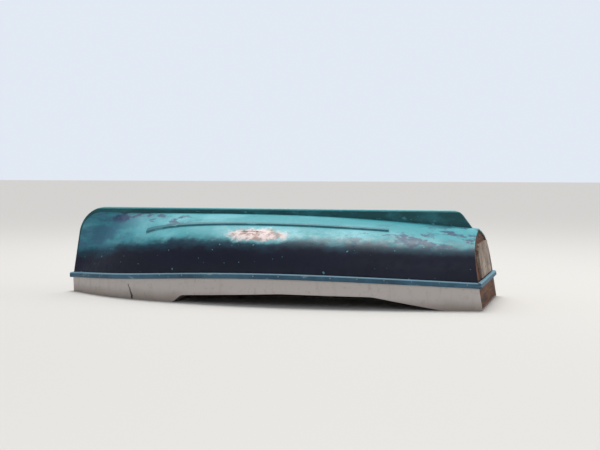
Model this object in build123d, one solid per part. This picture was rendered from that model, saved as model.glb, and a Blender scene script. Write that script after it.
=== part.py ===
from build123d import *
from math import cos, hypot, pi, tan
import os

# Small moulded rowing boat, stored keel up as it lies on a beach.
#
# The boat is drawn right way up in millimetres: X runs aft from the bow, Y across, Z up
# from the underside of the keel. At the end it is turned over on to its sheer, so that
# the row frame has its origin on the ground under the middle of the boat.

# Driving sizes of the whole boat
LENGTH = 3700.0                 # over the rub rail, bow to stern
HEIGHT = 752.0                  # underside of the keel to the top of the foredeck rim
HULL_WALL = 8.0                 # laminate of the hull
DECK_WALL = 6.0                 # laminate of the deck moulding
FIT = 0.3                       # running gap left where one piece seats on another
STEM_HEAD_Z = 606.0             # sheer height at the stem
TRANSOM_HEAD_Z = 557.0          # sheer height at the transom
STEM_HALF = 18.0                # half the width of the stem and of the keel flat
FORM_TOP = 900.0                # the hull form's sides run straight up to here

# Keel, skeg and stem
KEEL_WIDTH = 36.0
KEEL_EDGE = 9.0                 # round on the outer edges
STEM_RAKE = 9.5                 # degrees from upright
STEM_STEP = 20.0                # how far the stem piece stands out of the hull
STEM_TOP_GAP = 14.0             # from the top of the stem piece to the rub rail
DECK_RAKE = 3.0                 # degrees that the deck's front leans aft above the sheer
FOREFOOT_RADIUS = 222.0
SKEG_RAKE_FOOT = 118.0          # from the transom to where the skeg's heel starts to rise
SKEG_RAKE_HEAD = 16.0           # from the transom to where the skeg meets the hull
SKEG_HEEL_RADIUS = 110.0

# Rub rail on the joint of hull and deck
RAIL_OUT = 26.0
RAIL_BELOW = 24.0
RAIL_ABOVE = 20.0
RAIL_BEVEL = 8.0
RAIL_PROFILE = [                # out from the hull's side and up from the sheer
    (RAIL_OUT - RAIL_BEVEL, -RAIL_BELOW),
    (RAIL_OUT, -RAIL_BELOW + RAIL_BEVEL),
    (RAIL_OUT, RAIL_ABOVE - RAIL_BEVEL),
    (RAIL_OUT - RAIL_BEVEL, RAIL_ABOVE),
]

# Bilge rails
BILGE_RAIL_WIDTH = 30.0
BILGE_RAIL_DEPTH = 14.0
BILGE_RAIL_MID = 385.0          # from the centre line, at its middle
BILGE_RAIL_END = 345.0          # from the centre line, at its ends
BILGE_RAIL_START_SHARE = 0.228
BILGE_RAIL_STOP_SHARE = 0.80

# Transom
TRANSOM_RAKE = 9.0              # degrees from upright
TRANSOM_THICK = 30.0
TRANSOM_LIP = 14.0              # the hull's edge stands this far past the panel
TRANSOM_BOARD_THICK = 22.0

# Deck moulding
CAP_WIDTH = 72.0
CAP_LIP = 45.0
FOREDECK_SHARE = 0.318          # of the length, where the foredeck stops
CROSS_BEAM = 46.0               # strip of the moulding behind the foredeck

# Inside
SEAT_HEIGHT = 352.0             # top of the thwarts
SEAT_THICK = 24.0
RISER_HEIGHT = 46.0
RISER_THICK = 24.0
RISER_FIRST_ROW = 5             # the risers' inner face only needs the rows from here aft
FLOOR_HEIGHT = 158.0            # top of the bottom boards
FLOOR_THICK = 14.0
FLOOR_SLAT = 92.0
FLOOR_GAP = 22.0
BULKHEAD_THICK = 10.0
BULKHEAD_HOLE_RADIUS = 75.0

BULKHEAD_AFT = 12.0             # from the foredeck's end to the bow bulkhead
BULKHEAD_HOLE_Z = 430.0
SEAT_EDGE = 4.0
RISER_SHARES = (0.372, 0.858)
THWART_SHARES = {"forward": (0.392, 0.452), "rowing": (0.540, 0.604)}
POST_SIZE = (80.0, 40.0)
KNEE_HEIGHT = 225.0
KNEE_REACH = 150.0
KNEE_TOE = 26.0
KNEE_THICK = 22.0
BENCH_SHARE = 0.872
BENCH_NOSE = 26.0               # the bench stands out past the locker's front
HATCH_HALF = 150.0
HATCH_LOW = 220.0
HATCH_HIGH = 310.0
FLOOR_SHARES = (0.355, 0.845)
FLOOR_STEP = 45.0               # each board further out starts this much further aft
FLOOR_EDGE = 2.0
BEARER_SHARES = (0.41, 0.60, 0.78)
BEARER_WIDTH = 38.0
BEARER_HALF = 290.0
STRETCHER_SHARE = 0.775
STRETCHER_SIZE = (42.0, 60.0)
RING_Z = 560.0
RING_PLATE = (5.0, 56.0, 44.0)
RING_EYE = 13.0
RING_RADIUS = 27.0
RING_WIRE = 4.5

# Transom fittings
TRANSOM_BOARD_Z = (262.0, 520.0)
TRANSOM_BOARD_Y = (-392.0, 300.0)   # port, starboard
DOUBLER_Z = (400.0, 700.0)
DOUBLER_HALF = 150.0
DOUBLER_THICK = 18.0
DRAIN_Y = -70.0
DRAIN_Z = 222.0
DRAIN_BORE = 11.0
DRAIN_OUTER = 14.0
DRAIN_RIM = 24.0
DRAIN_FLANGE = 3.0

# Rowlocks
ROWLOCK_BORE = 6.5
ROWLOCK_SLEEVE = 11.0
ROWLOCK_SHARE = 0.680
ROWLOCK_IN = 32.0               # from the hull's side to the bore
ROWLOCK_DEEP = 62.0             # sleeve, from the deck's top
ROWLOCK_BLOCK = (130.0, 50.0, 46.0)
ROWLOCK_PLATE = (92.0, 34.0, 4.0)

BOW_X = -LENGTH / 2
STEM_HEAD_X = BOW_X + RAIL_OUT
TRANSOM_X = LENGTH / 2 - RAIL_OUT - TRANSOM_LIP    # panel face at the sheer
HULL_RUN = TRANSOM_X - STEM_HEAD_X

# Control rows of the hull's smooth sides, bow to stern. Columns: share of the hull's run,
# half breadth and height at the sheer, the two shape points of the side (upper, lower),
# and the height of the keel flat
ROWS = [
    # share, sheer_y, sheer_z, upper_y, upper_z, lower_y, lower_z, keel_z
    (-0.080, 20, 622, 18, 480, 18, 260, 40),
    (-0.030, 28, 613, 18, 490, 18, 260, 40),
    (0.000, 50, 606, 18, 500, 18, 260, 42),
    (0.030, 130, 599, 34, 500, 18, 256, 44),
    (0.070, 240, 590, 112, 410, 22, 205, 46),
    (0.125, 366, 578, 290, 300, 66, 128, 49),
    (0.200, 498, 562, 470, 208, 190, 98, 49),
    (0.310, 610, 537, 608, 158, 338, 96, 48),
    (0.450, 688, 515, 690, 144, 428, 108, 47),
    (0.600, 716, 509, 716, 154, 452, 120, 54),
    (0.760, 692, 520, 692, 182, 430, 150, 82),
    (0.930, 604, 544, 604, 220, 370, 194, 130),
    (1.100, 472, 574, 472, 262, 296, 236, 178),
    (1.260, 340, 604, 340, 300, 226, 276, 222),
]

# Top edge of the deck moulding. Columns: share of the hull's run, height, round
TOP_EDGE = [
    (-0.060, HEIGHT, 0),
    (0.318, HEIGHT, 40),
    (0.340, 690, 60),
    (0.580, 648, 900),
    (0.780, 654, 260),
    (0.930, HEIGHT, 220),
    (1.100, HEIGHT, 0),
]


def station_x(share):
    return STEM_HEAD_X + share * HULL_RUN


def row_points(row, grow):
    """Keel, lower, upper and sheer points of one control row, moved out by grow."""
    _, sheer_y, sheer_z, upper_y, upper_z, lower_y, lower_z, keel_z = row
    corners = [(0, keel_z), (STEM_HALF, keel_z), (lower_y, lower_z), (upper_y, upper_z), (sheer_y, sheer_z)]
    outward = []
    for (y0, z0), (y1, z1) in zip(corners, corners[1:]):
        size = hypot(y1 - y0, z1 - z0)
        outward.append(((z1 - z0) / size, (y0 - y1) / size))
    x = station_x(row[0])
    points = []
    for (y, z), (ay, az), (by, bz) in zip(corners[1:], outward, outward[1:]):
        reach = grow / (1 + ay * by + az * bz)
        points.append((x, y + (ay + by) * reach, z + (az + bz) * reach))
    points.append((x, sheer_y + grow, sheer_z))
    return points


def blend(points, weights):
    total = sum(weights)
    return tuple(sum(w * p[axis] for w, p in zip(weights, points)) / total for axis in range(3))


def patches(line):
    """Splits one line of control points, bow to stern, into the smooth curve's spans."""
    spans = []
    for p0, p1, p2, p3 in zip(line, line[1:], line[2:], line[3:]):
        spans.append([
            blend((p0, p1, p2), (1, 4, 1)),
            blend((p1, p2), (2, 1)),
            blend((p1, p2), (1, 2)),
            blend((p1, p2, p3), (1, 4, 1)),
        ])
    return spans


def mirrored(points):
    return [(x, -y, z) for x, y, z in points]


def skin(strips):
    """Solid wrapped in smooth strips, given for the port side from the foot to the top.

    Each strip is a list of two or four lines of control points that run bow to stern.
    """
    lined = [[patches(line) for line in strip] for strip in strips]
    foot, top = lined[0][0], lined[-1][-1]
    faces = []
    for span in range(len(foot)):
        for strip in lined:
            lines = [line[span] for line in strip]
            faces.append(Face.make_bezier_surface(lines))
            faces.append(Face.make_bezier_surface([mirrored(line) for line in lines]))
        faces.append(Face.make_bezier_surface([mirrored(foot[span]), foot[span]]))
        faces.append(Face.make_bezier_surface([mirrored(top[span]), top[span]]))
    for span, end in ((0, 0), (-1, -1)):
        port, star = [], []
        for strip in lined:
            points = [line[span][end] for line in strip]
            port.append(edge_through(points))
            star.insert(0, edge_through(mirrored(points)[::-1]))
        low, high = foot[span][end], top[span][end]
        close_low = Edge.make_line(mirrored([low])[0], low)
        close_high = Edge.make_line(high, mirrored([high])[0])
        faces.append(Face(Wire([close_low, *port, close_high, *star])))
    return Solid(Shell(faces))


def edge_through(points):
    return Edge.make_line(*points) if len(points) == 2 else Edge.make_bezier(*points)


def hull_blank(grow, first=0):
    """The hull form before its ends are cut: smooth sides, carried straight up past the sheer."""
    rows = [row_points(row, grow) for row in ROWS[first:]]
    keel, lower, upper, sheer = [[row[column] for row in rows] for column in range(4)]
    top = [(x, y, FORM_TOP) for x, y, _ in sheer]
    return skin([[keel, lower, upper, sheer], [sheer, top]])


def rail_blank():
    """The outside of the rub rail, all round, before its ends are cut."""
    lines = []
    for out, up in RAIL_PROFILE:
        lines.append([(station_x(row[0]), row[1] + out, row[2] + up) for row in ROWS])
    return skin([list(pair) for pair in zip(lines, lines[1:])])


def stem_line_x(z, grow):
    """Face of the stem at a height, moved forward by grow."""
    rake = tan(STEM_RAKE * pi / 180)
    return STEM_HEAD_X + (STEM_HEAD_Z - z) * rake - grow / cos(STEM_RAKE * pi / 180)


def transom_line_x(z, aft):
    """Face of the transom panel at a height, moved aft."""
    rake = tan(TRANSOM_RAKE * pi / 180)
    return TRANSOM_X + (z - TRANSOM_HEAD_Z) * rake + aft / cos(TRANSOM_RAKE * pi / 180)


WIDE = 1200.0
HIGH = 1400.0
HULL_FOOT = 44.0                # forefoot of the hull itself, above the keel's underside


def side_outline(grow, aft, foot):
    """Side view of the boat: raked stem, round forefoot, raked transom."""
    head = stem_line_x(STEM_HEAD_Z, grow)
    points = [
        (head, STEM_HEAD_Z),
        (stem_line_x(foot, grow), foot),
        (transom_line_x(foot, aft), foot),
        (transom_line_x(HIGH, aft), HIGH),
        (head + (HIGH - STEM_HEAD_Z) * tan(DECK_RAKE * pi / 180), HIGH),
    ]
    face = make_face(Polyline(*[(x, 0, z) for x, z in points], close=True))
    body = extrude(face, WIDE, dir=(0, 1, 0), both=True)
    corner = [
        edge for edge in body.edges()
        if abs(edge.center().X - points[1][0]) < 1 and abs(edge.center().Z - foot) < 1
    ]
    return fillet(corner, FOREFOOT_RADIUS + grow)


_forms = {}


def form(grow=0.0, aft=TRANSOM_LIP, first=0):
    """The hull form as a solid, moved out by grow, from the given first control row."""
    key = (grow, aft, first)
    if key not in _forms:
        _forms[key] = hull_blank(grow, first) & side_outline(grow, aft, HULL_FOOT - grow)
    return _forms[key]


def sheer_points():
    """Points on the sheer in side view, past both ends of the boat."""
    spans = patches([(station_x(row[0]), 0, row[2]) for row in ROWS])
    return [span[0] for span in spans] + [spans[-1][3]]


def sheer_curve(lift):
    return Spline(*[(x, 0, z + lift) for x, _, z in sheer_points()])


def sheer_z(x):
    """Height of the sheer at a place along the boat."""
    points = sheer_points()
    for (x0, _, z0), (x1, _, z1) in zip(points, points[1:]):
        if x <= x1:
            break
    return z0 + (z1 - z0) * (x - x0) / (x1 - x0)


def between(lower, upper):
    """Solid between two open curves of the X-Z plane that start and end level."""
    ends = [Line(lower @ 0, upper @ 0), Line(lower @ 1, upper @ 1)]
    return extrude(make_face([lower, upper, *ends]), WIDE, dir=(0, 1, 0), both=True)


def level(z):
    ends = sheer_points()[0][0], sheer_points()[-1][0]
    return Line((ends[0], 0, z), (ends[1], 0, z))


def under_sheer():
    return between(level(-100.0), sheer_curve(0.0))


def top_curve(drop):
    """Top edge of the deck moulding, lowered by drop."""
    points = [(station_x(share), 0, z - drop) for share, z, _ in TOP_EDGE]
    points[0] = (sheer_points()[0][0], 0, points[0][2])
    points[-1] = (sheer_points()[-1][0], 0, points[-1][2])
    return FilletPolyline(*points, radius=[row[2] for row in TOP_EDGE[1:-1]])


def over_sheer():
    """From the sheer up to the top edge of the deck."""
    return between(sheer_curve(0.0), top_curve(0.0))


def top_layer(high, low):
    """Layer that follows the deck's top edge, from high to low under it."""
    top, foot = top_curve(high), top_curve(low)
    ends = [Line(top @ 0, foot @ 0), Line(top @ 1, foot @ 1)]
    return extrude(make_face([top, foot, *ends]), WIDE, dir=(0, 1, 0), both=True)


def slab_x(start, stop):
    """Everything between two stations along the boat."""
    return Pos((start + stop) / 2, 0, 0) * Box(stop - start, 2 * WIDE, 2 * HIGH)


def slab_z(low, high):
    return Pos(0, 0, (low + high) / 2) * Box(2 * LENGTH, 2 * WIDE, high - low)


def transom_slab(start, stop):
    """Layer along the transom, from start to stop aft of its panel's face."""
    points = [
        (transom_line_x(-HIGH, start), -HIGH),
        (transom_line_x(-HIGH, stop), -HIGH),
        (transom_line_x(HIGH, stop), HIGH),
        (transom_line_x(HIGH, start), HIGH),
    ]
    face = make_face(Polyline(*[(x, 0, z) for x, z in points], close=True))
    return extrude(face, WIDE, dir=(0, 1, 0), both=True)


def curve_at(span, t):
    """Point and direction on one span of a smooth curve."""
    a, b, c, d = span
    u = 1 - t
    point = blend((a, b, c, d), (u ** 3, 3 * u * u * t, 3 * u * t * t, t ** 3))
    way = [u * u * (b[i] - a[i]) + 2 * u * t * (c[i] - b[i]) + t * t * (d[i] - c[i]) for i in range(3)]
    return point, way


def plan_face(inset):
    """Plan of the boat at the sheer, drawn in by inset."""
    side = []
    for span in patches([(station_x(row[0]), row[1], 0) for row in ROWS]):
        for t in (0, 0.5, 1)[len(side) > 0:]:
            (x, y, _), (dx, dy, _) = curve_at(span, t)
            size = hypot(dx, dy)
            side.append((x + dy / size * inset, y - dx / size * inset))
    side = [point for point in side if point[1] > 1]
    star = Spline(*[(x, -y) for x, y in side])
    port = Spline(*[(x, y) for x, y in side])
    return make_face([star, port, Line(star @ 0, port @ 0), Line(star @ 1, port @ 1)])


def plan_prism(inset, start, stop, corner):
    """Upright prism on the plan drawn in by inset, between two stations."""
    middle = (start + stop) / 2
    window = Pos(middle, 0) * Rectangle(stop - start, 2 * WIDE)
    face = plan_face(inset) & window
    sharp = [v for v in face.vertices() if abs(v.X - start) < 1 or abs(v.X - stop) < 1]
    if corner:
        face = fillet(sharp, corner)
    return extrude(face, HIGH)


# Pieces outside the boat


def hull_shell():
    inner = form(-HULL_WALL, aft=3 * TRANSOM_LIP)
    return (form() - inner) & under_sheer()


def keel_and_skeg():
    head = STEM_HEAD_Z - RAIL_BELOW - STEM_TOP_GAP
    run = HULL_FOOT
    outer = [
        (stem_line_x(head, STEM_STEP), head),
        (stem_line_x(0, STEM_STEP), 0),
        (transom_line_x(0, 0) - SKEG_RAKE_FOOT, 0),
        (transom_line_x(run + 130, 0) - SKEG_RAKE_HEAD, run + 130),
        (station_x(0.5), head),
    ]
    face = make_face(Polyline(*[(x, 0, z) for x, z in outer], close=True))
    blank = extrude(face, KEEL_WIDTH / 2, dir=(0, 1, 0), both=True)

    def corner_at(point):
        return [
            edge for edge in blank.edges()
            if abs(edge.center().X - point[0]) < 1 and abs(edge.center().Z - point[1]) < 1
        ]

    blank = fillet(corner_at(outer[1]), FOREFOOT_RADIUS + HULL_FOOT)
    blank = fillet(corner_at(outer[2]), SKEG_HEEL_RADIUS)
    rim = [
        edge for edge in blank.edges()
        if abs(abs(edge.center().Y) - KEEL_WIDTH / 2) < 0.01 and edge.center().Z < head - 1
        and not (edge.geom_type == GeomType.LINE and edge.center().X > outer[1][0] + 400
                 and edge.center().Z > run + 100)
    ]
    blank = fillet(rim, KEEL_EDGE)
    return blank - form(FIT)


def bilge_rail(hand):
    start, stop = station_x(BILGE_RAIL_START_SHARE), station_x(BILGE_RAIL_STOP_SHARE)
    middle = (start + stop) / 2
    line = ThreePointArc(
        (start, hand * BILGE_RAIL_END), (middle, hand * BILGE_RAIL_MID), (stop, hand * BILGE_RAIL_END)
    )
    strip = extrude(trace(line, BILGE_RAIL_WIDTH), SHEER_LOW)
    rail = strip & (form(BILGE_RAIL_DEPTH) - form(FIT))
    return rail


SHEER_LOW = min(row[2] for row in ROWS)


def rub_rail(hand):
    ring = rail_blank() & side_outline(RAIL_OUT, TRANSOM_LIP, HULL_FOOT - RAIL_OUT)
    half = Pos(0, hand * WIDE / 2, 0) * Box(2 * LENGTH, WIDE, 2 * HIGH)
    return (ring - form(FIT, aft=3 * TRANSOM_LIP)) & half


def stern_rail():
    """The rail's run across the transom, between the two side rails."""
    points = [(transom_line_x(TRANSOM_HEAD_Z - RAIL_BELOW, TRANSOM_LIP + FIT), TRANSOM_HEAD_Z - RAIL_BELOW)]
    for out, up in RAIL_PROFILE:
        z = TRANSOM_HEAD_Z + up
        points.append((transom_line_x(z, TRANSOM_LIP + out), z))
    head = TRANSOM_HEAD_Z + RAIL_ABOVE
    points.append((transom_line_x(head, TRANSOM_LIP + FIT), head))
    outline = Polyline(*[(x, 0, z) for x, z in points], close=True)
    bar = extrude(make_face(outline), WIDE, dir=(0, 1, 0), both=True)
    return bar & form(RAIL_OUT, aft=6 * TRANSOM_LIP)


def deck_moulding():
    wall = (form() - form(-DECK_WALL, aft=3 * TRANSOM_LIP)) & over_sheer()
    top = form() & top_layer(0, DECK_WALL)
    start, stop = station_x(FOREDECK_SHARE) + CROSS_BEAM, TRANSOM_X - CAP_WIDTH
    cockpit = plan_prism(CAP_WIDTH, start, stop, 60)
    rim = plan_prism(CAP_WIDTH - DECK_WALL, start - DECK_WALL, stop + DECK_WALL, 60 + DECK_WALL)
    fore = plan_prism(CAP_WIDTH, station_x(0.0), station_x(FOREDECK_SHARE), 40)
    lip = (rim - cockpit) & top_layer(0, CAP_LIP)
    moulding = wall + (top - cockpit - fore) + lip
    for hand in (-1, 1):
        x, y = rowlock_centre(hand)
        moulding -= Pos(x, y, 0) * Cylinder(ROWLOCK_SLEEVE + FIT, 2 * HIGH)
    return moulding


def foredeck():
    panel = form(-DECK_WALL - FIT) & slab_z(HEIGHT - 2 * DECK_WALL - FIT, HEIGHT - DECK_WALL - FIT)
    return panel & slab_x(BOW_X, station_x(FOREDECK_SHARE) - 2) & below_deck()


def half_breadth(x):
    """Half breadth at the sheer, at a place along the boat."""
    spans = patches([(station_x(row[0]), row[1], 0) for row in ROWS])
    points = [span[0] for span in spans] + [spans[-1][3]]
    for (x0, y0, _), (x1, y1, _) in zip(points, points[1:]):
        if x <= x1:
            break
    return y0 + (y1 - y0) * (x - x0) / (x1 - x0)


def block(x, y, z):
    """Box between pairs of limits."""
    middle = [(low + high) / 2 for low, high in (x, y, z)]
    return Pos(*middle) * Box(x[1] - x[0], y[1] - y[0], z[1] - z[0])


def inside():
    return form(-HULL_WALL - FIT)


def below_deck():
    """Everything under the deck moulding's top."""
    return between(level(-100.0), top_curve(DECK_WALL + FIT))


# Pieces inside the boat


def bow_bulkhead():
    start = station_x(FOREDECK_SHARE) + BULKHEAD_AFT
    plate = inside() & slab_x(start, start + BULKHEAD_THICK) & below_deck()
    drill = Rot(0, 90, 0) * Cylinder(BULKHEAD_HOLE_RADIUS, 6 * BULKHEAD_THICK)
    hole = Pos(start, 0, BULKHEAD_HOLE_Z) * drill
    return plate - hole


def riser(hand):
    top = SEAT_HEIGHT - SEAT_THICK - FIT
    belt = inside() - form(-HULL_WALL - FIT - RISER_THICK, aft=3 * TRANSOM_LIP, first=RISER_FIRST_ROW)
    start, stop = station_x(RISER_SHARES[0]), station_x(RISER_SHARES[1])
    return belt & block((start, stop), sorted((0, hand * WIDE)), (top - RISER_HEIGHT, top))


def thwart(name):
    start, stop = [station_x(share) for share in THWART_SHARES[name]]
    board = inside() & block((start, stop), (-WIDE, WIDE), (SEAT_HEIGHT - SEAT_THICK, SEAT_HEIGHT))
    long_edges = [
        edge for edge in board.edges()
        if min(abs(edge.center().X - start), abs(edge.center().X - stop)) < 0.1 and edge.length > 600
    ]
    return chamfer(long_edges, SEAT_EDGE)


def thwart_post(name):
    start, stop = [station_x(share) for share in THWART_SHARES[name]]
    middle = (start + stop) / 2
    deep, wide = POST_SIZE
    top = SEAT_HEIGHT - SEAT_THICK - FIT
    return block((middle - deep / 2, middle + deep / 2), (-wide / 2, wide / 2), (FLOOR_HEIGHT + FIT, top))


def thwart_knee(name, hand):
    start, stop = [station_x(share) for share in THWART_SHARES[name]]
    middle = (start + stop) / 2
    side = half_breadth(middle) - HULL_WALL
    foot, head = SEAT_HEIGHT + FIT, SEAT_HEIGHT + KNEE_HEIGHT
    inner = (side - KNEE_REACH, foot + KNEE_TOE)
    upper = (side - KNEE_TOE, head)
    hollow = ThreePointArc(
        (middle, hand * inner[0], inner[1]),
        (middle, hand * (inner[0] + 0.68 * (upper[0] - inner[0])), inner[1] + 0.32 * (upper[1] - inner[1])),
        (middle, hand * upper[0], upper[1]),
    )
    rest = Polyline(
        (middle, hand * upper[0], head), (middle, hand * WIDE, head),
        (middle, hand * WIDE, foot), (middle, hand * inner[0], foot), (middle, hand * inner[0], inner[1]),
    )
    plate = extrude(make_face([hollow, rest]), KNEE_THICK / 2, dir=(1, 0, 0), both=True)
    return plate & inside()


def stern_bench():
    start = station_x(BENCH_SHARE)
    board = inside() & slab_z(SEAT_HEIGHT - SEAT_THICK, SEAT_HEIGHT)
    board = board & transom_slab(-LENGTH, -TRANSOM_THICK - FIT) & slab_x(start, LENGTH)
    front = [edge for edge in board.edges() if abs(edge.center().X - start) < 0.1 and edge.length > 600]
    return chamfer(front, SEAT_EDGE)


def stern_locker_front():
    start = station_x(BENCH_SHARE) + BENCH_NOSE
    plate = inside() & slab_x(start, start + BULKHEAD_THICK) & slab_z(-100, SEAT_HEIGHT - SEAT_THICK - FIT)
    hatch = block(
        (start - 1, start + BULKHEAD_THICK + 1), (-HATCH_HALF, HATCH_HALF), (HATCH_LOW, HATCH_HIGH)
    )
    return plate - hatch


def floor_board(index):
    """One bottom board, counted from the middle one, starboard side positive."""
    middle = index * (FLOOR_SLAT + FLOOR_GAP)
    start, stop = station_x(FLOOR_SHARES[0]), station_x(FLOOR_SHARES[1])
    start += abs(index) * FLOOR_STEP
    board = block(
        (start, stop),
        (middle - FLOOR_SLAT / 2, middle + FLOOR_SLAT / 2),
        (FLOOR_HEIGHT - FLOOR_THICK, FLOOR_HEIGHT),
    )
    board = chamfer(board.edges().group_by(Axis.Z)[-1], FLOOR_EDGE)
    return board & inside()


def floor_bearer(share):
    middle = station_x(share)
    bar = block(
        (middle - BEARER_WIDTH / 2, middle + BEARER_WIDTH / 2), (-BEARER_HALF, BEARER_HALF),
        (-100, FLOOR_HEIGHT - FLOOR_THICK - FIT),
    )
    return bar & inside()


def foot_stretcher():
    middle = station_x(STRETCHER_SHARE)
    deep, tall = STRETCHER_SIZE
    half = 2 * (FLOOR_SLAT + FLOOR_GAP) + FLOOR_SLAT / 2
    bar = block(
        (middle - deep / 2, middle + deep / 2),
        (-half, half),
        (FLOOR_HEIGHT + FIT, FLOOR_HEIGHT + FIT + tall),
    )
    return chamfer(bar.edges().group_by(Axis.Z)[-1], SEAT_EDGE)


def drain_axis():
    """Middle of the drain on the transom's outer face, and the way the transom faces."""
    x = transom_line_x(DRAIN_Z, 0)
    return (x, DRAIN_Y, DRAIN_Z), TRANSOM_RAKE


def along_drain(radius, start, stop):
    """Cylinder on the drain's axis, between distances aft of the transom's outer face."""
    (x, y, z), rake = drain_axis()
    rod = Pos(0, 0, (start + stop) / 2) * Cylinder(radius, stop - start)
    return Pos(x, y, z) * Rot(0, 90 + rake, 0) * rod


def transom_panel():
    panel = inside() & transom_slab(-TRANSOM_THICK, 0) & below_deck()
    return panel - along_drain(DRAIN_OUTER + FIT, -4 * TRANSOM_THICK, TRANSOM_THICK)


def transom_outer_board():
    """The weathered board on the transom, its lower starboard corner rotted away."""
    low, high = TRANSOM_BOARD_Z
    port, star = TRANSOM_BOARD_Y
    points = [(star, high), (star, low + 95), (star - 18, low + 70), (star - 26, low + 44),
              (star - 52, low + 30), (star - 66, low + 6), (star - 92, low), (port, low), (port, high)]
    face = make_face(Polyline(*[(0, y, z) for y, z in points], close=True))
    blank = extrude(face, LENGTH, dir=(1, 0, 0))
    return blank & transom_slab(FIT, TRANSOM_BOARD_THICK) & form(-HULL_WALL - 6, aft=3 * TRANSOM_LIP)


def transom_doubler():
    low, high = DOUBLER_Z
    pad = block((0, LENGTH), (-DOUBLER_HALF, DOUBLER_HALF), (low, high))
    return pad & transom_slab(-TRANSOM_THICK - FIT - DOUBLER_THICK, -TRANSOM_THICK - FIT)


def drain_tube():
    sleeve = along_drain(DRAIN_OUTER, -TRANSOM_THICK - DRAIN_FLANGE - FIT, DRAIN_FLANGE + FIT)
    outer = along_drain(DRAIN_RIM, FIT, DRAIN_FLANGE + FIT)
    return sleeve + outer - along_drain(DRAIN_BORE, -3 * TRANSOM_THICK, 2 * TRANSOM_THICK)


def rowlock_centre(hand):
    x = station_x(ROWLOCK_SHARE)
    return x, hand * (half_breadth(x) - ROWLOCK_IN)


def rowlock_block(hand):
    x, y = rowlock_centre(hand)
    long, wide, deep = ROWLOCK_BLOCK
    side = half_breadth(x)
    blank = block(
        (x - long / 2, x + long / 2), sorted((hand * (side - DECK_WALL - wide), hand * WIDE)), (0, HIGH)
    )
    blank = blank & form(-DECK_WALL - FIT) & top_layer(DECK_WALL + FIT, DECK_WALL + FIT + deep)
    return blank - Pos(x, y, 0) * Cylinder(ROWLOCK_SLEEVE + FIT, 2 * HIGH)


def rowlock_socket(hand):
    x, y = rowlock_centre(hand)
    long, wide, thick = ROWLOCK_PLATE
    plate = block((x - long / 2, x + long / 2), (y - wide / 2, y + wide / 2), (0, HIGH))
    plate = plate & top_layer(-thick - FIT, -FIT)
    sleeve = Pos(x, y, 0) * Cylinder(ROWLOCK_SLEEVE, 2 * HIGH) & top_layer(-thick - FIT, ROWLOCK_DEEP)
    return plate + sleeve - Pos(x, y, 0) * Cylinder(ROWLOCK_BORE, 2 * HIGH)


def ring_bolt():
    """Ring for the painter on the aft face of the bow bulkhead."""
    face = station_x(FOREDECK_SHARE) + BULKHEAD_AFT + BULKHEAD_THICK + FIT
    plate = block((face, face + RING_PLATE[0]), (-RING_PLATE[1] / 2, RING_PLATE[1] / 2),
                  (RING_Z - RING_PLATE[2] / 2, RING_Z + RING_PLATE[2] / 2))
    eye = Pos(face + RING_PLATE[0] + RING_EYE, 0, RING_Z) * Rot(90, 0, 0) * Torus(RING_EYE, RING_WIRE)
    ring = Pos(face + RING_PLATE[0] + RING_EYE * 2 + RING_WIRE / 2, 0, RING_Z - RING_RADIUS) * Rot(0, 90, 0)
    return plate + eye + ring * Torus(RING_RADIUS, RING_WIRE)


# Middle of the overall length, from the rub rail's tip to the deck's stern edge
MIDDLE = (stem_line_x(STEM_HEAD_Z, RAIL_OUT) + transom_line_x(HEIGHT, TRANSOM_LIP)) / 2

PIECES = {
    "hull_shell": hull_shell,
    "keel_and_skeg": keel_and_skeg,
    "bilge_rail_starboard": lambda: bilge_rail(1),
    "bilge_rail_port": lambda: bilge_rail(-1),
    "rub_rail_starboard": lambda: rub_rail(1),
    "rub_rail_port": lambda: rub_rail(-1),
    "rub_rail_stern": stern_rail,
    "deck_moulding": deck_moulding,
    "foredeck": foredeck,
    "bow_bulkhead": bow_bulkhead,
    "seat_riser_starboard": lambda: riser(1),
    "seat_riser_port": lambda: riser(-1),
    "forward_thwart": lambda: thwart("forward"),
    "rowing_thwart": lambda: thwart("rowing"),
    "forward_thwart_post": lambda: thwart_post("forward"),
    "rowing_thwart_post": lambda: thwart_post("rowing"),
    "forward_knee_starboard": lambda: thwart_knee("forward", 1),
    "forward_knee_port": lambda: thwart_knee("forward", -1),
    "rowing_knee_starboard": lambda: thwart_knee("rowing", 1),
    "rowing_knee_port": lambda: thwart_knee("rowing", -1),
    "stern_bench": stern_bench,
    "stern_locker_front": stern_locker_front,
    "floor_board_centre": lambda: floor_board(0),
    "floor_board_starboard_inner": lambda: floor_board(1),
    "floor_board_starboard_outer": lambda: floor_board(2),
    "floor_board_port_inner": lambda: floor_board(-1),
    "floor_board_port_outer": lambda: floor_board(-2),
    "floor_bearer_fore": lambda: floor_bearer(BEARER_SHARES[0]),
    "floor_bearer_mid": lambda: floor_bearer(BEARER_SHARES[1]),
    "floor_bearer_aft": lambda: floor_bearer(BEARER_SHARES[2]),
    "foot_stretcher": foot_stretcher,
    "transom_panel": transom_panel,
    "transom_outer_board": transom_outer_board,
    "transom_doubler": transom_doubler,
    "drain_tube": drain_tube,
    "rowlock_block_starboard": lambda: rowlock_block(1),
    "rowlock_block_port": lambda: rowlock_block(-1),
    "rowlock_socket_starboard": lambda: rowlock_socket(1),
    "rowlock_socket_port": lambda: rowlock_socket(-1),
    "ring_bolt": ring_bolt,
}

if __name__ == "__main__":
    os.makedirs("parts", exist_ok=True)
    for name, make in PIECES.items():
        turned = Pos(-MIDDLE, 0, HEIGHT) * Rot(180, 0, 0) * make()
        export_step(turned, f"parts/{name}.step")
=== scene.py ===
"""Looks for a small moulded rowing boat that lies keel up on its deck rim.

All lengths are in metres in the row frame: X runs from the bow to the stern, Y towards
the boat's port side and Z up from the ground to the keel.
"""

import math

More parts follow.
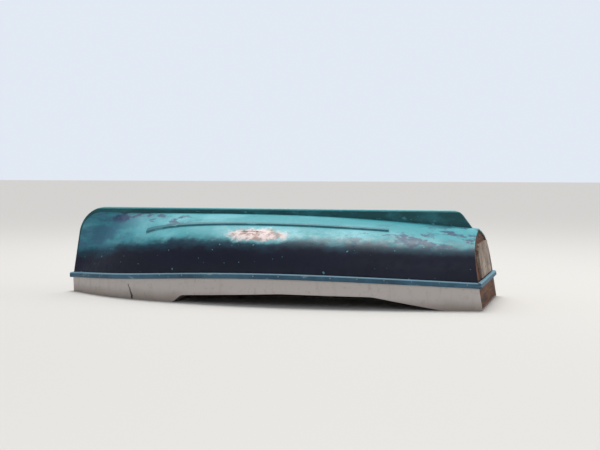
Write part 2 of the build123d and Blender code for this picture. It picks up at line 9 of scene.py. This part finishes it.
import bmesh
import bpy
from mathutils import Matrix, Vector


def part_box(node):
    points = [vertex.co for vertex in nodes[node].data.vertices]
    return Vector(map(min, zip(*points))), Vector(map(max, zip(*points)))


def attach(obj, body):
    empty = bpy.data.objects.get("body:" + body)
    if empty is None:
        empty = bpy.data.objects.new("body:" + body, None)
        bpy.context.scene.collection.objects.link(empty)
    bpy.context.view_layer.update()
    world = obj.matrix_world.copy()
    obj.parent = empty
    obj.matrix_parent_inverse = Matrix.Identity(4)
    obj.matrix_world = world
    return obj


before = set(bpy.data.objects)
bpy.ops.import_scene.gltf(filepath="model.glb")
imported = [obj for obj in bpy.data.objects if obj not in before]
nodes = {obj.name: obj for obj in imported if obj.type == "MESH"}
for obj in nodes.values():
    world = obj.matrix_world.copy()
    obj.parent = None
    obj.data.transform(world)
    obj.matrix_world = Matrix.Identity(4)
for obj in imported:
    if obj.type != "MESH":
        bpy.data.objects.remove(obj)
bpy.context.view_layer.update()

SMOOTH_ANGLE = math.radians(32)

# Camera, off the starboard quarter and a little above the keel
CAMERA_AT = (2.820, -9.482, 1.1401)
CAMERA_TURN = 15.157            # degrees left of straight ahead
CAMERA_DOWN = 3.062
CAMERA_LENS = 69.67
CAMERA_SENSOR = 36.0
CAMERA_FAR = 400.0

# Colours as seen, 0 to 255
TURQUOISE = (66, 160, 170)
TURQUOISE_PALE = (110, 188, 198)
TEAL = (30, 106, 120)
TEAL_DARK = (20, 66, 84)
SLATE = (72, 98, 134)
NAVY = (5, 11, 36)
NAVY_WORN = (24, 35, 62)
BARE = (240, 222, 218)
BARE_EDGE = (176, 150, 142)
CRACK_RED = (128, 66, 60)
# Painted shade: the keel's turquoise darkened to dark teal, standing for its shaded sides
KEEL_SHADED_TEAL = (6, 80, 84)
# Painted highlight along the keel's top edge
KEEL_EDGE_HIGHLIGHT = (104, 190, 194)
RAIL = (62, 104, 126)
RAIL_SHADE = (44, 78, 98)
# Painted highlight on the rub rail's upward faces
RAIL_TOP_HIGHLIGHT = (134, 176, 194)
RAIL_SCUFF = (150, 170, 178)
GELCOAT = (200, 191, 186)
GELCOAT_DIRT = (150, 134, 120)
GELCOAT_STAIN = (168, 150, 134)
CRACK_DARK = (34, 28, 26)
INSIDE = (176, 186, 186)
INSIDE_DIRT = (112, 112, 104)
PLY = (120, 78, 52)
PLY_DARK = (58, 40, 32)
PLY_RED = (142, 76, 50)
PLY_TOP_DARK = (52, 48, 50)
BOARD = (170, 152, 138)
BOARD_DARK = (92, 78, 68)
BOARD_LIGHT = (204, 190, 174)
SEAT = (136, 92, 56)
SEAT_DARK = (86, 54, 32)
FLOOR_WOOD = (132, 112, 92)
FLOOR_DARK = (84, 68, 54)
ZINC = (150, 153, 156)
ZINC_DARK = (104, 106, 108)
BRASS = (150, 118, 62)
BRASS_DARK = (86, 74, 44)
STAGE = (214, 212, 208)

SPECULAR = 0.35

# Heights of the line between the two bottom paints, and the stretches of X where it changes
PAINT_LINE = 0.500
PAINT_LINE_BOW = 0.345
PAINT_LINE_BOW_STRETCH = (-1.85, -0.60)
PAINT_LINE_STERN_DROP = -0.035
PAINT_LINE_STERN_STRETCH = (0.9, 1.8)
BOW_FADE_STRETCH = (-1.50, -0.75)

# Navy blotches beside the keel at the bow and on the quarters: middle, half and fade, or a stretch
KEEL_BLOTCH_X = (-1.05, 0.32, 0.25)
KEEL_BLOTCH_STRETCH = (0.600, 0.645)
QUARTER_BLOTCH_STRETCH = (0.55, 1.0)
QUARTER_BLOTCH_Z = (0.535, 0.05, 0.07)

# Bare patch on the starboard turn of the bilge, and the splits in it
PATCH_X = 0.04
PATCH_Z = 0.562
PATCH_HALF_LENGTH = 0.25
PATCH_HALF_HEIGHT = 0.046
SPLIT_X = -0.01
SPLIT_HALF_LENGTH = 0.07
SPLIT_FADE = 0.06
SPLIT_HEIGHTS = (0.585, 0.570)

# Stretches of height on the keel
KEEL_NAVY_STRETCH = (0.30, 0.46)
# Painted highlight along the keel's top edge, from and to height
KEEL_HIGHLIGHT_STRETCH = (0.737, 0.746)

# Cracks in the starboard bow of the deck moulding
CRACK_LEAN = 0.30
CRACK_Y_STRETCH = (-0.50, -0.46)
# Columns: place along the boat at the ground, half width, from and to height, weight
CRACKS = [
    (-1.075, 0.0045, 0.008, 0.125, 1.0),
    (-1.066, 0.0025, 0.004, 0.060, 0.8),
    (-1.125, 0.0012, 0.004, 0.060, 0.6),
    (-1.180, 0.0014, 0.010, 0.050, 0.6),
    (-0.930, 0.0010, 0.020, 0.065, 0.4),
]

# Fittings; a head is its radius and its height
RAIL_SCREWS = 17
RAIL_SCREW_FIRST = -1.62
RAIL_SCREW_PITCH = 0.21
RAIL_SCREW_HEAD = (0.0055, 0.0022)
RAIL_HIGHEST = 0.244            # middle of the rub rail above the ground, at its highest
RAIL_HIGHEST_SHARE = 0.60       # where along the rail that is
RAIL_FALL = 0.27                # how much it falls, times the square of the share from there
TRANSOM_BOLT_HEAD = (0.011, 0.005)
# Columns: across the boat, height
TRANSOM_BOLTS = [
    (-0.25, 0.29),
    (-0.25, 0.40),
    (0.0, 0.30),
    (0.0, 0.43),
    (0.30, 0.30),
    (0.30, 0.44),
]
SOCKET_SCREW_HEAD = (0.005, 0.002)
SOCKET_SCREW_INSET = 0.012
NAIL_HEAD = (0.004, 0.0012)
NAIL_INSET = 0.02
NAIL_SIDES = 10
HEAD_SIDES = 14
HEAD_RINGS = 4
HEAD_SUNK = 0.001
OUTSIDE = 3.0                   # past every side of the boat, where rays start
UNDER = -0.5

# Studio
STAGE_HALF = 60.0
WORLD_COLOUR = (0.80, 0.86, 0.95, 1)
WORLD_LIGHT = 0.42
WORLD_SEEN = 0.95
SUN_STRENGTH = 2.1
SUN_COLOUR = (1.0, 0.97, 0.93)
SUN_SPREAD = 30                 # degrees
SUN_LEAN = (-14, -8)            # degrees about X and Y
LAMP_AIM = (0, 0, 0.3)
# Columns: name, place, width and depth, power, colour
LAMPS = [
    ("key", (-1.5, 4.5, 8.0), (5.0, 5.0), 210, (1.0, 0.97, 0.92)),
    ("fill", (3.0, -9.0, 5.0), (6.0, 4.0), 85, (0.94, 0.97, 1.0)),
    ("stern", (8.0, 1.5, 3.5), (3.0, 3.0), 110, (1.0, 0.96, 0.90)),
]


def linear(colour):
    """Colour of a shader socket from one of the colours above."""
    shares = [c / 255 for c in colour]
    return (*[c / 12.92 if c <= 0.04045 else ((c + 0.055) / 1.055) ** 2.4 for c in shares], 1.0)


class Paint:
    """One procedural material and short ways to add nodes to it."""

    def __init__(self, name):
        self.material = bpy.data.materials.new(name)
        self.material.use_nodes = True
        self.tree = self.material.node_tree
        self.shader = self.tree.nodes["Principled BSDF"]
        coords = self.tree.nodes.new("ShaderNodeTexCoord")
        self.place = coords.outputs["Object"]
        split = self.tree.nodes.new("ShaderNodeSeparateXYZ")
        self.tree.links.new(self.place, split.inputs[0])
        self.x, self.y, self.z = split.outputs
        facing = self.tree.nodes.new("ShaderNodeSeparateXYZ")
        self.tree.links.new(coords.outputs["Normal"], facing.inputs[0])
        _, self.facing_y, self.facing_z = facing.outputs

    def feed(self, socket, value):
        if isinstance(value, bpy.types.NodeSocket):
            self.tree.links.new(value, socket)
        elif isinstance(value, tuple) and len(value) == 3 and socket.type == "RGBA":
            socket.default_value = linear(value)
        else:
            socket.default_value = value

    def math(self, kind, a, b=0.0):
        node = self.tree.nodes.new("ShaderNodeMath")
        node.operation = kind
        self.feed(node.inputs[0], a)
        self.feed(node.inputs[1], b)
        return node.outputs[0]

    def add(self, a, b):
        return self.math("ADD", a, b)

    def times(self, a, b):
        return self.math("MULTIPLY", a, b)

    def swing(self, value, amount):
        """A texture's value about its middle, times an amount."""
        return self.times(self.add(value, -0.5), amount)

    def ramp(self, value, low, high, start=0.0, stop=1.0):
        """start below low, stop above high and a smooth step between."""
        node = self.tree.nodes.new("ShaderNodeMapRange")
        node.interpolation_type = "SMOOTHSTEP"
        for socket, given in zip(node.inputs[:5], (value, low, high, start, stop)):
            self.feed(socket, given)
        return node.outputs[0]

    def stretched(self, scale, shift=(0, 0, 0)):
        node = self.tree.nodes.new("ShaderNodeMapping")
        self.tree.links.new(self.place, node.inputs["Vector"])
        node.inputs["Scale"].default_value = scale
        node.inputs["Location"].default_value = shift
        return node.outputs[0]

    def noise(self, scale, detail=4.0, rough=0.55, stretch=(1, 1, 1), shift=(0, 0, 0), bend=0.0):
        node = self.tree.nodes.new("ShaderNodeTexNoise")
        self.tree.links.new(self.stretched(stretch, shift), node.inputs["Vector"])
        node.inputs["Scale"].default_value = scale
        node.inputs["Detail"].default_value = detail
        node.inputs["Roughness"].default_value = rough
        node.inputs["Distortion"].default_value = bend
        return node.outputs[0]

    def cracks(self, scale, stretch=(1, 1, 1), width=0.02):
        """1 along the borders of irregular cells."""
        node = self.tree.nodes.new("ShaderNodeTexVoronoi")
        node.feature = "DISTANCE_TO_EDGE"
        self.tree.links.new(self.stretched(stretch), node.inputs["Vector"])
        node.inputs["Scale"].default_value = scale
        return self.ramp(node.outputs["Distance"], 0.0, width, 1.0, 0.0)

    def mix(self, share, a, b):
        node = self.tree.nodes.new("ShaderNodeMix")
        node.data_type = "RGBA"
        self.feed(node.inputs["Factor"], share)
        self.feed(node.inputs["A"], a)
        self.feed(node.inputs["B"], b)
        return node.outputs["Result"]

    def hump(self, value, middle, half, soft):
        """1 within half of the middle, falling to 0 over soft."""
        off = self.math("ABSOLUTE", self.add(value, -middle))
        return self.ramp(off, half, half + soft, 1.0, 0.0)

    def finish(
        self, colour, roughness, metallic=0.0,
        bump=None, strength=0.3, depth=0.002, coat=0.0, coat_rough=0.2,
    ):
        self.feed(self.shader.inputs["Base Color"], colour)
        self.feed(self.shader.inputs["Roughness"], roughness)
        self.shader.inputs["Metallic"].default_value = metallic
        self.shader.inputs["Coat Weight"].default_value = coat
        self.shader.inputs["Coat Roughness"].default_value = coat_rough
        self.shader.inputs["Specular IOR Level"].default_value = SPECULAR
        if bump is not None:
            node = self.tree.nodes.new("ShaderNodeBump")
            node.inputs["Strength"].default_value = strength
            node.inputs["Distance"].default_value = depth
            self.tree.links.new(bump, node.inputs["Height"])
            self.tree.links.new(node.outputs[0], self.shader.inputs["Normal"])
        return self.material


def painted_bottom(paint):
    """Turquoise bottom paint over navy, with the wear seen on the starboard side."""
    broad = paint.noise(2.1, 6, 0.6)
    streak = paint.noise(3.0, 6, 0.65, stretch=(1, 1, 2.6), shift=(3, 1, 2))
    fine = paint.noise(16, 5, 0.6, shift=(7, 2, 5))
    # The two paints meet in a soft, ragged line that drops towards the bow
    line = paint.ramp(paint.x, *PAINT_LINE_BOW_STRETCH, PAINT_LINE_BOW, PAINT_LINE)
    line = paint.add(line, paint.ramp(paint.x, *PAINT_LINE_STERN_STRETCH, 0.0, PAINT_LINE_STERN_DROP))
    over = paint.math("SUBTRACT", paint.z, line)
    over = paint.add(over, paint.swing(streak, 0.16))
    over = paint.add(over, paint.swing(fine, 0.05))
    # Turquoise, paler where it is rubbed, with slate patches
    top = paint.mix(paint.ramp(broad, 0.42, 0.66), TURQUOISE, TURQUOISE_PALE)
    bow_fade = paint.ramp(paint.x, *BOW_FADE_STRETCH, 1.0, 0.0)
    slate = paint.mix(fine, SLATE, TEAL)
    bow_slate = paint.times(bow_fade, paint.ramp(streak, 0.34, 0.58, 0.30, 1.0))
    top = paint.mix(paint.times(bow_slate, 0.9), top, slate)
    blotch = paint.ramp(paint.noise(5.5, 7, 0.68, stretch=(1, 1, 1.8), shift=(4, 4, 1)), 0.50, 0.58)
    by_keel = paint.times(paint.hump(paint.x, *KEEL_BLOTCH_X), paint.ramp(paint.z, *KEEL_BLOTCH_STRETCH))
    quarters = paint.ramp(paint.x, *QUARTER_BLOTCH_STRETCH)
    quarters = paint.times(quarters, paint.hump(paint.z, *QUARTER_BLOTCH_Z))
    where = paint.math("MAXIMUM", by_keel, quarters)
    navy_blotch = paint.mix(fine, NAVY_WORN, SLATE)
    top = paint.mix(paint.times(paint.times(where, blotch), 0.92), top, navy_blotch)
    # Navy, a little greyer where it is worn
    side = paint.mix(paint.ramp(broad, 0.45, 0.75, 0.0, 0.35), NAVY, NAVY_WORN)
    side = paint.mix(paint.ramp(over, -0.07, 0.015), side, TEAL_DARK)
    colour = paint.mix(paint.ramp(over, -0.01, 0.065), side, top)
    return colour, broad, fine


def hull_paint():
    paint = Paint("hull_paint")
    colour, broad, fine = painted_bottom(paint)
    # Bare filler on the starboard turn of the bilge
    along = paint.add(paint.x, -PATCH_X)
    up = paint.add(paint.z, -PATCH_Z)
    far = paint.math("SQRT", paint.add(
        paint.times(paint.times(along, along), 1 / PATCH_HALF_LENGTH ** 2),
        paint.times(paint.times(up, up), 1 / PATCH_HALF_HEIGHT ** 2),
    ))
    far = paint.add(far, paint.swing(paint.noise(9, 6, 0.65), 1.5))
    star = paint.ramp(paint.y, -0.3, -0.2, 1.0, 0.0)
    speck = paint.swing(paint.noise(42, 4, 0.6, shift=(3, 3, 3)), 0.9)
    patch = paint.times(paint.ramp(paint.add(far, speck), 0.65, 1.20, 1.0, 0.0), star)
    fringe = paint.times(paint.ramp(far, 0.85, 1.6, 0.85, 0.0), star)
    colour = paint.mix(fringe, colour, TURQUOISE_PALE)
    bare = paint.mix(paint.ramp(fine, 0.45, 0.62), BARE, BARE_EDGE)
    wiggle = paint.swing(paint.noise(11, 4, 0.6, shift=(2, 6, 1)), 0.05)
    upper_split = paint.hump(paint.add(paint.z, wiggle), SPLIT_HEIGHTS[0], 0.002, 0.0035)
    lower_split = paint.hump(paint.add(paint.z, paint.times(wiggle, 1.5)), SPLIT_HEIGHTS[1], 0.001, 0.003)
    split = paint.math("MAXIMUM", upper_split, paint.times(lower_split, 0.7))
    split = paint.times(split, paint.hump(paint.x, SPLIT_X, SPLIT_HALF_LENGTH, SPLIT_FADE))
    bare = paint.mix(split, bare, CRACK_RED)
    colour = paint.mix(patch, colour, bare)
    # Small chips all over
    chips = paint.ramp(paint.noise(26, 3, 0.5, shift=(1, 8, 3)), 0.70, 0.73)
    colour = paint.mix(paint.times(chips, 0.5), colour, TURQUOISE_PALE)
    # Inside of the hull
    outward = paint.add(
        paint.facing_z,
        paint.times(paint.facing_y, paint.math("SIGN", paint.y)),
    )
    inner = paint.ramp(outward, -0.12, -0.05, 1.0, 0.0)
    dirt = paint.mix(paint.ramp(broad, 0.45, 0.65), INSIDE, INSIDE_DIRT)
    colour = paint.mix(inner, colour, dirt)
    rough = paint.ramp(paint.add(fine, paint.times(patch, 0.4)), 0.3, 0.9, 0.42, 0.72)
    bump = paint.add(paint.times(fine, 0.3), paint.add(paint.times(patch, -0.5), paint.times(broad, 0.2)))
    return paint.finish(colour, rough, bump=bump, strength=0.25, depth=0.004, coat=0.05, coat_rough=0.25)


def keel_paint():
    paint = Paint("keel_paint")
    fine = paint.noise(18, 5, 0.6)
    wear = paint.noise(4.0, 6, 0.65, stretch=(1, 1, 2))
    # Painted shade: the keel is dark teal all over for its shaded sides, with turquoise showing where worn
    body = paint.mix(paint.ramp(wear, 0.45, 0.7, 0.0, 0.35), KEEL_SHADED_TEAL, TURQUOISE)
    low = paint.ramp(paint.z, *KEEL_NAVY_STRETCH, 1.0, 0.0)
    body = paint.mix(paint.times(low, 0.9), body, NAVY)
    # Painted highlight: a pale band along the keel's top edge, where the light catches it
    painted_edge_highlight = paint.ramp(paint.add(paint.z, paint.times(fine, 0.006)), *KEEL_HIGHLIGHT_STRETCH)
    painted_edge_highlight = paint.times(painted_edge_highlight, 0.9)
    colour = paint.mix(painted_edge_highlight, body, KEEL_EDGE_HIGHLIGHT)
    scar = paint.ramp(paint.noise(30, 3, 0.5, stretch=(0.4, 1, 1)), 0.66, 0.70)
    colour = paint.mix(paint.times(scar, 0.4), colour, TURQUOISE_PALE)
    return paint.finish(colour, 0.42, bump=fine, strength=0.2, depth=0.003, coat=0.15)


def bilge_paint():
    paint = Paint("bilge_rail_paint")
    colour, _, fine = painted_bottom(paint)
    # Painted shade: the bottom paint darkened towards dark teal over the whole rail, for the shadow along
    # its face
    painted_shade_colour = paint.mix(0.6, colour, TEAL_DARK)
    scuff = paint.ramp(paint.noise(34, 3, 0.5, stretch=(0.3, 1, 1)), 0.60, 0.66)
    painted_shade_colour = paint.mix(paint.times(scuff, 0.45), painted_shade_colour, TURQUOISE_PALE)
    return paint.finish(painted_shade_colour, 0.4, bump=fine, strength=0.2, depth=0.003, coat=0.15)


def rail_plastic():
    paint = Paint("rub_rail_plastic")
    fine = paint.noise(22, 5, 0.6, stretch=(0.35, 1, 1))
    broad = paint.noise(2.4, 5, 0.6)
    colour = paint.mix(paint.ramp(broad, 0.40, 0.65), RAIL, RAIL_SHADE)
    # Painted highlight: the rail's upward faces made paler, as if lit from above
    colour = paint.mix(paint.times(paint.ramp(paint.facing_z, 0.3, 0.8), 0.8), colour, RAIL_TOP_HIGHLIGHT)
    scuff = paint.ramp(fine, 0.60, 0.70)
    colour = paint.mix(paint.times(scuff, 0.5), colour, RAIL_SCUFF)
    return paint.finish(colour, 0.55, bump=fine, strength=0.25, depth=0.002)


def gelcoat():
    paint = Paint("deck_gelcoat")
    broad = paint.noise(2.6, 6, 0.6)
    fine = paint.noise(20, 5, 0.6)
    dirt = paint.ramp(paint.add(paint.z, paint.swing(broad, 0.12)), 0.0, 0.11, 0.75, 0.0)
    colour = paint.mix(dirt, GELCOAT, GELCOAT_DIRT)
    colour = paint.mix(paint.ramp(fine, 0.55, 0.75, 0.0, 0.35), colour, GELCOAT_DIRT)
    stain = paint.ramp(paint.noise(4.5, 5, 0.6, stretch=(3, 3, 0.5)), 0.55, 0.75, 0.0, 0.4)
    colour = paint.mix(stain, colour, GELCOAT_STAIN)
    # One open crack and some hairlines on the starboard bow
    star = paint.ramp(paint.y, *CRACK_Y_STRETCH, 1.0, 0.0)
    wander = paint.swing(paint.noise(14, 4, 0.6, stretch=(0.2, 0.2, 1)), 0.05)
    lean = paint.add(paint.add(paint.x, paint.times(paint.z, CRACK_LEAN)), wander)
    marks = None
    for middle, half, low, high, weight in CRACKS:
        mark = paint.hump(lean, middle, half, half)
        mark = paint.times(mark, paint.hump(paint.z, (low + high) / 2, (high - low) / 2, 0.006))
        mark = paint.times(mark, weight)
        marks = mark if marks is None else paint.math("MAXIMUM", marks, mark)
    marks = paint.times(marks, star)
    colour = paint.mix(marks, colour, CRACK_DARK)
    crazing = paint.times(paint.cracks(11, stretch=(1, 1, 0.6), width=0.012), paint.ramp(broad, 0.48, 0.58))
    colour = paint.mix(paint.times(crazing, 0.35), colour, GELCOAT_DIRT)
    height = paint.add(paint.times(fine, 0.3), paint.times(marks, -1.0))
    rough = paint.ramp(fine, 0.3, 0.8, 0.35, 0.6)
    return paint.finish(colour, rough, bump=height, strength=0.3, depth=0.003, coat=0.1)


def timber(name, light, dark, along, gloss, plank=0.0, pale=None):
    """Wood with its grain along X, Y or Z."""
    paint = Paint(name)
    stretch = tuple(0.06 if axis == along else 1 for axis in "xyz")
    grain = paint.noise(55, 5, 0.6, stretch=stretch, bend=0.6)
    broad = paint.noise(3.5, 5, 0.6)
    rings = paint.noise(14, 3, 0.5, stretch=stretch, shift=(2, 3, 4), bend=1.2)
    colour = paint.mix(paint.ramp(grain, 0.38, 0.66), light, dark)
    colour = paint.mix(paint.ramp(rings, 0.50, 0.68, 0.0, 0.5), colour, dark)
    if pale:
        colour = paint.mix(paint.ramp(broad, 0.48, 0.72, 0.0, 0.7), colour, pale)
    checks = paint.ramp(paint.noise(80, 2, 0.5, stretch=stretch, shift=(9, 1, 1)), 0.66, 0.70)
    colour = paint.mix(paint.times(checks, plank), colour, dark)
    height = paint.add(grain, paint.times(checks, -plank * 2))
    return paint.finish(colour, gloss, bump=height, strength=0.35, depth=0.002)


def stained_ply():
    """Plywood of the transom, dark towards the keel, red-brown where the skin has gone."""
    paint = Paint("stained_ply")
    grain = paint.noise(42, 5, 0.6, stretch=(1, 0.06, 1), bend=0.5)
    broad = paint.noise(4.0, 6, 0.65)
    colour = paint.mix(paint.ramp(grain, 0.35, 0.68), PLY, PLY_DARK)
    colour = paint.mix(paint.ramp(broad, 0.48, 0.64, 0.0, 0.8), colour, PLY_RED)
    # Darker towards the keel
    top = paint.ramp(paint.add(paint.z, paint.swing(broad, 0.12)), 0.48, 0.58)
    colour = paint.mix(paint.times(top, 0.8), colour, PLY_TOP_DARK)
    return paint.finish(colour, 0.75, bump=paint.add(grain, broad), strength=0.4, depth=0.003)


def metal(name, light, dark, rough):
    paint = Paint(name)
    broad = paint.noise(35, 5, 0.6)
    colour = paint.mix(paint.ramp(broad, 0.42, 0.62), light, dark)
    spread = paint.ramp(broad, 0.3, 0.7, rough, rough + 0.2)
    return paint.finish(colour, spread, metallic=0.85, bump=broad, strength=0.15, depth=0.001)


looks = {
    "hull": hull_paint(),
    "keel": keel_paint(),
    "bilge": bilge_paint(),
    "rail": rail_plastic(),
    "deck": gelcoat(),
    "seat": timber("seat_wood", SEAT, SEAT_DARK, "y", 0.45, plank=0.5),
    "riser": timber("riser_wood", SEAT, SEAT_DARK, "x", 0.5, plank=0.5),
    "floor": timber("floor_wood", FLOOR_WOOD, FLOOR_DARK, "x", 0.8, plank=0.8, pale=BOARD),
    "bearer": timber("bearer_wood", FLOOR_WOOD, FLOOR_DARK, "y", 0.8, plank=0.8),
    "ply": stained_ply(),
    "board": timber("weathered_board", BOARD, BOARD_DARK, "z", 0.85, plank=0.9, pale=BOARD_LIGHT),
    "zinc": metal("zinc", ZINC, ZINC_DARK, 0.45),
    "brass": metal("brass", BRASS, BRASS_DARK, 0.4),
}
LOOK_OF = {
    "hull_shell": "hull", "keel_and_skeg": "keel", "bilge_rail": "bilge", "rub_rail": "rail",
    "deck_moulding": "deck", "foredeck": "deck", "bow_bulkhead": "seat", "seat_riser": "riser",
    "forward_thwart": "seat", "rowing_thwart": "seat", "forward_knee": "seat", "rowing_knee": "seat",
    "stern_bench": "seat", "stern_locker_front": "seat", "floor_board": "floor", "floor_bearer": "bearer",
    "foot_stretcher": "bearer", "transom_panel": "ply", "transom_outer_board": "board",
    "transom_doubler": "seat", "drain_tube": "brass", "rowlock_block": "riser",
    "rowlock_socket": "zinc", "ring_bolt": "zinc",
}
for name, node in nodes.items():
    keys = [key for key in LOOK_OF if name.startswith(key)]
    node.data.materials.clear()
    node.data.materials.append(looks[LOOK_OF[max(keys, key=len)]])


def add_piece(name, mesh_maker, look):
    """One mesh of small fittings, made by a function that fills a bmesh."""
    mesh = bpy.data.meshes.new(name)
    made = bmesh.new()
    mesh_maker(made)
    made.to_mesh(mesh)
    made.free()
    obj = bpy.data.objects.new(name, mesh)
    bpy.context.scene.collection.objects.link(obj)
    mesh.materials.append(looks[look])
    mesh.shade_smooth()
    mesh.set_sharp_from_angle(angle=SMOOTH_ANGLE)
    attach(obj, "root")


def dome(made, at, way, head, sides=HEAD_SIDES):
    """A low round head at a place, facing a way."""
    turn = Vector((0, 0, 1)).rotation_difference(Vector(way).normalized()).to_matrix().to_4x4()
    radius, height = head
    loops = []
    for ring in range(HEAD_RINGS):
        lift = ring / HEAD_RINGS * math.pi / 2
        r, h = radius * math.cos(lift), height * math.sin(lift)
        loop = []
        for side in range(sides):
            angle = 2 * math.pi * side / sides
            spot = turn @ Vector((r * math.cos(angle), r * math.sin(angle), h)) + Vector(at)
            loop.append(made.verts.new(spot))
        loops.append(loop)
    top = made.verts.new(turn @ Vector((0, 0, height)) + Vector(at))
    base = made.verts.new(turn @ Vector((0, 0, -HEAD_SUNK)) + Vector(at))
    for low, high in zip(loops, loops[1:]):
        for side in range(sides):
            near = (side + 1) % sides
            made.faces.new((low[side], low[near], high[near], high[side]))
    for side in range(sides):
        near = (side + 1) % sides
        made.faces.new((loops[-1][side], loops[-1][near], top))
        made.faces.new((loops[0][near], loops[0][side], base))


def cast(origin, way):
    """Where a ray first meets the shown boat, with the surface's own direction."""
    graph = bpy.context.evaluated_depsgraph_get()
    hit, at, facing, *_ = bpy.context.scene.ray_cast(graph, Vector(origin), Vector(way).normalized())
    return (at, facing) if hit else None


bpy.context.view_layer.update()


def rail_screws(made):
    for hand in (-1, 1):
        for step in range(RAIL_SCREWS):
            x = RAIL_SCREW_FIRST + step * RAIL_SCREW_PITCH
            found = cast((x, hand * OUTSIDE, rail_height(x)), (0, -hand, 0))
            if found:
                dome(made, found[0], (0, hand, 0), RAIL_SCREW_HEAD)


def rail_height(x):
    """Middle of the rub rail above the ground."""
    low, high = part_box("rub_rail_starboard")
    share = (x - low.x) / (high.x - low.x)
    return RAIL_HIGHEST - RAIL_FALL * (share - RAIL_HIGHEST_SHARE) ** 2


def transom_bolts(made):
    for y, z in TRANSOM_BOLTS:
        found = cast((OUTSIDE, y, z), (-1, 0, 0))
        if found:
            dome(made, found[0], found[1], TRANSOM_BOLT_HEAD)


def socket_screws(made):
    for name in ("rowlock_socket_starboard", "rowlock_socket_port"):
        low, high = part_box(name)
        y = (low.y + high.y) / 2
        for x in (low.x + SOCKET_SCREW_INSET, high.x - SOCKET_SCREW_INSET):
            found = cast((x, y, UNDER), (0, 0, 1))
            if found:
                dome(made, found[0], (0, 0, -1), SOCKET_SCREW_HEAD)


def floor_nails(made):
    for name in [n for n in nodes if n.startswith("floor_board")]:
        low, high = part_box(name)
        for bearer in ("floor_bearer_fore", "floor_bearer_mid", "floor_bearer_aft"):
            near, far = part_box(bearer)
            x = (near.x + far.x) / 2
            for y in (low.y + NAIL_INSET, high.y - NAIL_INSET):
                dome(made, (x, y, low.z), (0, 0, -1), NAIL_HEAD, sides=NAIL_SIDES)


add_piece("rub_rail_screws", rail_screws, "zinc")
add_piece("transom_bolts", transom_bolts, "zinc")
add_piece("rowlock_socket_screws", socket_screws, "zinc")
add_piece("floor_board_nails", floor_nails, "zinc")

# Stage
floor_mesh = bpy.data.meshes.new("stage_floor")
corners = [(x * STAGE_HALF, y * STAGE_HALF, 0) for x, y in ((-1, -1), (1, -1), (1, 1), (-1, 1))]
floor_mesh.from_pydata(corners, [], [(0, 1, 2, 3)])
floor = bpy.data.objects.new("stage_floor", floor_mesh)
bpy.context.scene.collection.objects.link(floor)
floor_paint = bpy.data.materials.new("stage_floor")
floor_paint.use_nodes = True
floor_shader = floor_paint.node_tree.nodes["Principled BSDF"]
floor_shader.inputs["Base Color"].default_value = linear(STAGE)
floor_shader.inputs["Roughness"].default_value = 0.9
floor_mesh.materials.append(floor_paint)

world = bpy.data.worlds.new("studio")
bpy.context.scene.world = world
world.use_nodes = True
tree = world.node_tree
backdrop = tree.nodes["Background"]
backdrop.inputs["Color"].default_value = WORLD_COLOUR
path = tree.nodes.new("ShaderNodeLightPath")
strength = tree.nodes.new("ShaderNodeMapRange")
strength.inputs["To Min"].default_value = WORLD_LIGHT
strength.inputs["To Max"].default_value = WORLD_SEEN
tree.links.new(path.outputs["Is Camera Ray"], strength.inputs["Value"])
tree.links.new(strength.outputs[0], backdrop.inputs["Strength"])

for name, place, size, power, tint in LAMPS:
    lamp = bpy.data.lights.new(name, "AREA")
    lamp.shape = "RECTANGLE"
    lamp.size, lamp.size_y = size
    lamp.energy = power
    lamp.color = tint
    obj = bpy.data.objects.new(name, lamp)
    obj.location = place
    aim = Vector(LAMP_AIM) - Vector(place)
    obj.rotation_euler = aim.to_track_quat("-Z", "Y").to_euler()
    bpy.context.scene.collection.objects.link(obj)

sun = bpy.data.lights.new("sun", "SUN")
sun.energy = SUN_STRENGTH
sun.angle = math.radians(SUN_SPREAD)
sun.color = SUN_COLOUR
sun_at = bpy.data.objects.new("sun", sun)
sun_at.rotation_euler = (*[math.radians(degrees) for degrees in SUN_LEAN], 0)
bpy.context.scene.collection.objects.link(sun_at)

camera_data = bpy.data.cameras.new("camera")
camera_data.sensor_width = CAMERA_SENSOR
camera_data.lens = CAMERA_LENS
camera_data.clip_end = CAMERA_FAR
camera = bpy.data.objects.new("camera", camera_data)
camera.location = CAMERA_AT
camera.rotation_euler = (math.radians(90 - CAMERA_DOWN), 0, math.radians(CAMERA_TURN))
bpy.context.scene.collection.objects.link(camera)
bpy.context.scene.camera = camera
bpy.context.scene.view_settings.view_transform = "Standard"
